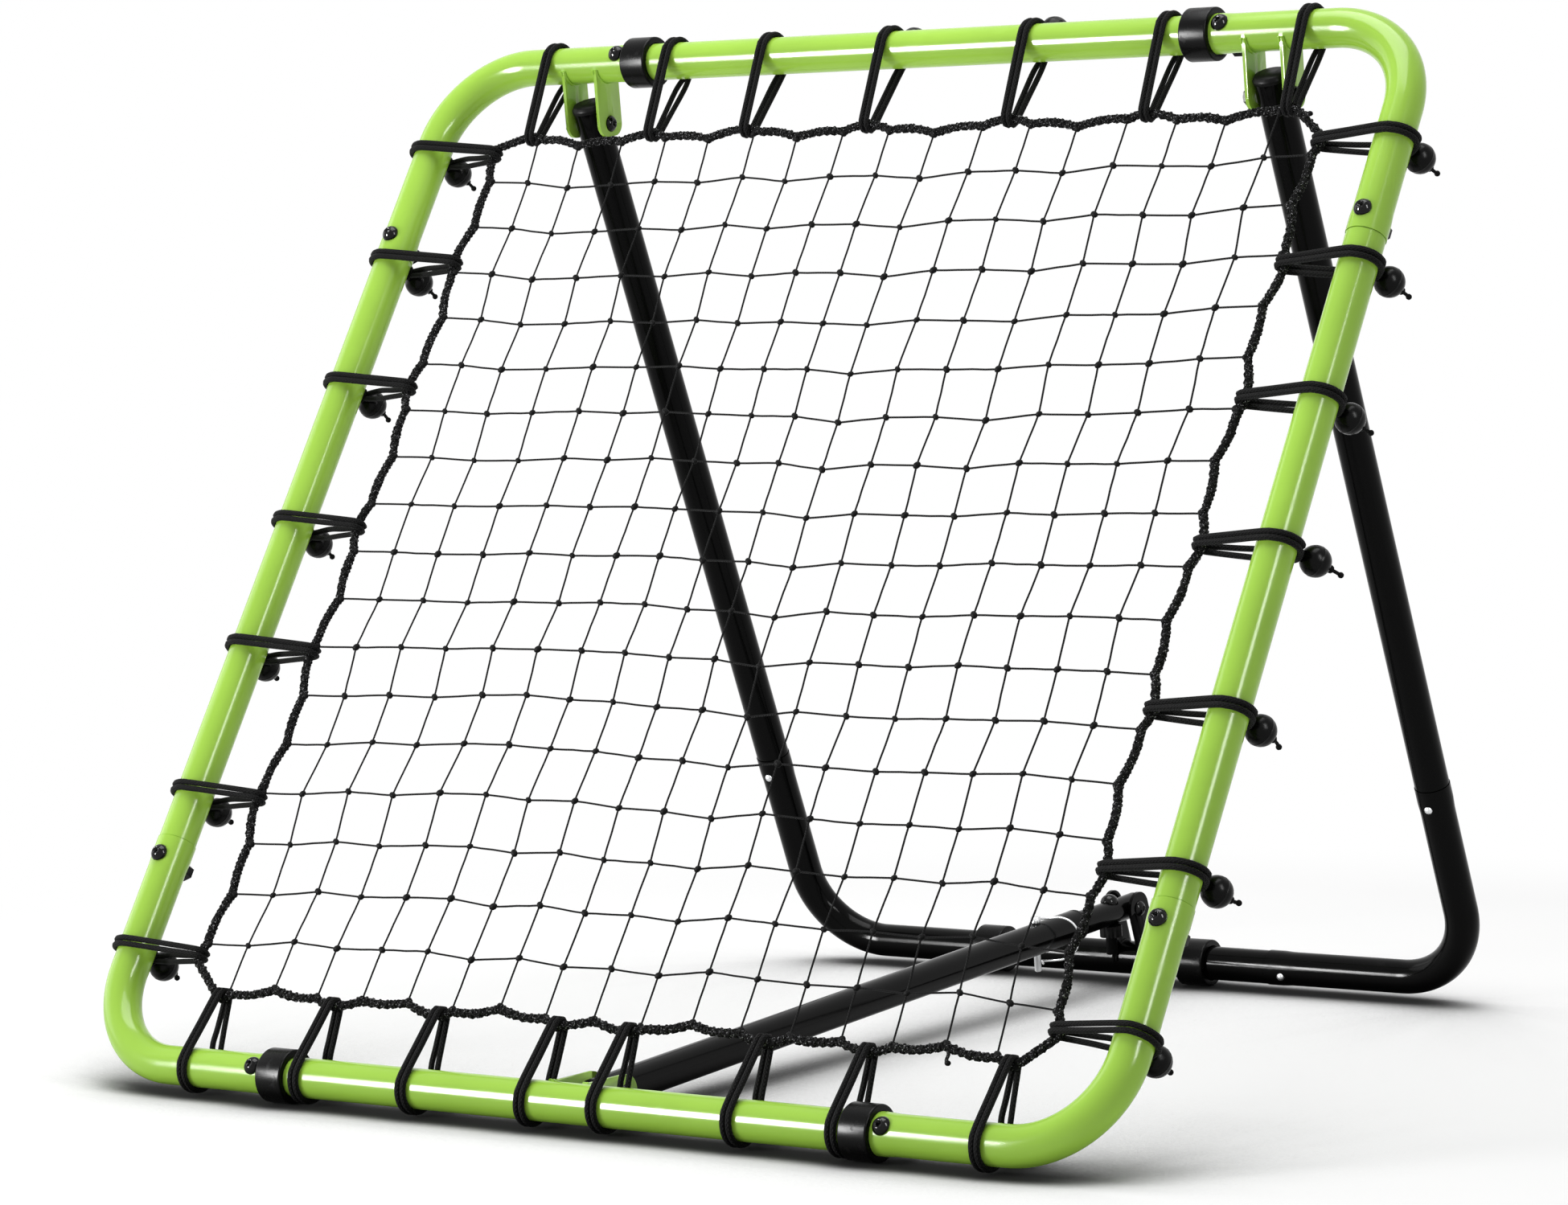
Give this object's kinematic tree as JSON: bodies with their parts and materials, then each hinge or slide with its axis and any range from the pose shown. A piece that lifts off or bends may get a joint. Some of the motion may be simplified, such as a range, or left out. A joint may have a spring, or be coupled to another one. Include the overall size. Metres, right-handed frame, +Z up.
{
  "type": "pitch back rebounder",
  "caption": "Sports rebounder: knotted net tied by bungee cords inside a leaning square tube frame, propped by a folding rear stand and a telescopic strut with a lock pin.",
  "frame": {"origin": "on the floor, midway across and midway between the front and rear feet", "axes": "+X across the net to the right seen from its front, +Y back towards the stand, +Z up"},
  "size_m": [1.0191, 0.8954, 0.8586],
  "materials": {
    "frame_green": "gloss",
    "bolt_black": "gloss",
    "collar_black": "satin",
    "net_cord": "matte",
    "border_rope": "matte",
    "bungee_elastic": "matte",
    "ball_black": "satin",
    "stand_black": "gloss",
    "plug_black": "satin",
    "knob_black": "satin",
    "bush_steel": "satin",
    "button_silver": "satin",
    "pin_zinc": "satin",
    "wire_steel": "gloss"
  },
  "bodies": {
    "net_frame": {"corner_top_left": "frame_green", "corner_top_right": "frame_green", "corner_bottom_left": "frame_green", "corner_bottom_right": "frame_green", "side_tube_left": "frame_green", "side_tube_right": "frame_green", "top_tube": "frame_green", "bottom_tube": "frame_green", "frame_bolts": "bolt_black", "frame_nuts": "bolt_black", "collar_top_left": "collar_black", "collar_top_right": "collar_black", "collar_bottom_left": "collar_black", "collar_bottom_right": "collar_black", "leg_pivot_bolts": "bolt_black", "leg_pivot_nuts": "bolt_black", "strut_front_bolt": "bolt_black", "strut_front_nut": "bolt_black", "net_mesh": "net_cord", "net_border": "border_rope", "bungees_top": "bungee_elastic", "bungees_bottom": "bungee_elastic", "bungees_left": "bungee_elastic", "bungees_right": "bungee_elastic", "balls_top": "ball_black", "balls_bottom": "ball_black", "balls_left": "ball_black", "balls_right": "ball_black"},
    "stand": {"leg_tube_left": "stand_black", "leg_tube_right": "stand_black", "leg_cap_left": "plug_black", "leg_cap_right": "plug_black", "leg_bushes": "bush_steel", "stand_corner_left": "stand_black", "stand_corner_right": "stand_black", "stand_base": "stand_black", "stand_collar_left": "collar_black", "stand_collar_right": "collar_black", "strut_rear_bolt": "bolt_black", "strut_rear_nut": "bolt_black"},
    "strut_outer": {"strut_outer_tube": "stand_black", "strut_front_plug": "plug_black", "strut_guide_bush": "plug_black"},
    "strut_inner": {"strut_inner_tube": "stand_black", "strut_slider_plug": "plug_black", "strut_rear_eye": "plug_black", "clamp_bolt": "bolt_black"},
    "lock_pin": {"lock_pin": "pin_zinc"},
    "pin_clip": {"pin_clip": "wire_steel"},
    "clamp_knob": {"clamp_knob": "knob_black"},
    "snap_leg_left": {"snap_leg_left": "button_silver"},
    "snap_leg_right": {"snap_leg_right": "button_silver"},
    "snap_base_left": {"snap_base_left": "button_silver"},
    "snap_base_right": {"snap_base_right": "button_silver"}
  },
  "joints": [
    {"name": "stand_fold", "type": "hinge", "parent": "net_frame", "child": "stand", "pos_m": [0, 0.10322, 0.78397], "axis": [1, 0, 0], "range_deg": [-3.5, 8.5]},
    {"name": "strut_swing", "type": "hinge", "parent": "net_frame", "child": "strut_outer", "pos_m": [0, -0.36975, 0.022], "axis": [1, 0, 0], "range_deg": [-1.4, 3.2]},
    {"name": "strut_slide", "type": "slide", "parent": "strut_outer", "child": "strut_inner", "axis": [0, 0.9982, 0.0602], "range_m": [-0.046, 0.11]},
    {"name": "pin_pull", "type": "slide", "parent": "strut_outer", "child": "lock_pin", "axis": [0, -0.0602, 0.9982], "range_m": [0, 0.045]},
    {"name": "clip_swing", "type": "hinge", "parent": "lock_pin", "child": "pin_clip", "pos_m": [0, 0.25708, 0.07685], "axis": [0.6018, -0.7972, -0.0481], "range_deg": [-1, 136]},
    {"name": "knob_turn", "type": "hinge", "parent": "strut_inner", "child": "clamp_knob", "pos_m": [0, 0.38296, 0.05639], "axis": [0, -0.0602, 0.9982], "continuous": true},
    {"name": "press_leg_left", "type": "slide", "parent": "stand", "child": "snap_leg_left", "axis": [0, 0.9207, 0.3904], "range_m": [0, 0.0042], "stiffness_N_per_m": 2500},
    {"name": "press_leg_right", "type": "slide", "parent": "stand", "child": "snap_leg_right", "axis": [0, 0.9207, 0.3904], "range_m": [0, 0.0042], "stiffness_N_per_m": 2500},
    {"name": "press_base_left", "type": "slide", "parent": "stand", "child": "snap_base_left", "axis": [0, 0.9207, 0.3904], "range_m": [0, 0.0042], "stiffness_N_per_m": 2500},
    {"name": "press_base_right", "type": "slide", "parent": "stand", "child": "snap_base_right", "axis": [0, 0.9207, 0.3904], "range_m": [0, 0.0042], "stiffness_N_per_m": 2500}
  ],
  "couplings": [
    {"joint": "strut_swing", "follows": "stand_fold", "ratio": 0.3489},
    {"joint": "strut_slide", "follows": "stand_fold", "m_per_rad": 0.72428},
    {"joint": "clip_swing", "follows": "pin_pull", "rad_per_m": 52.36}
  ]
}
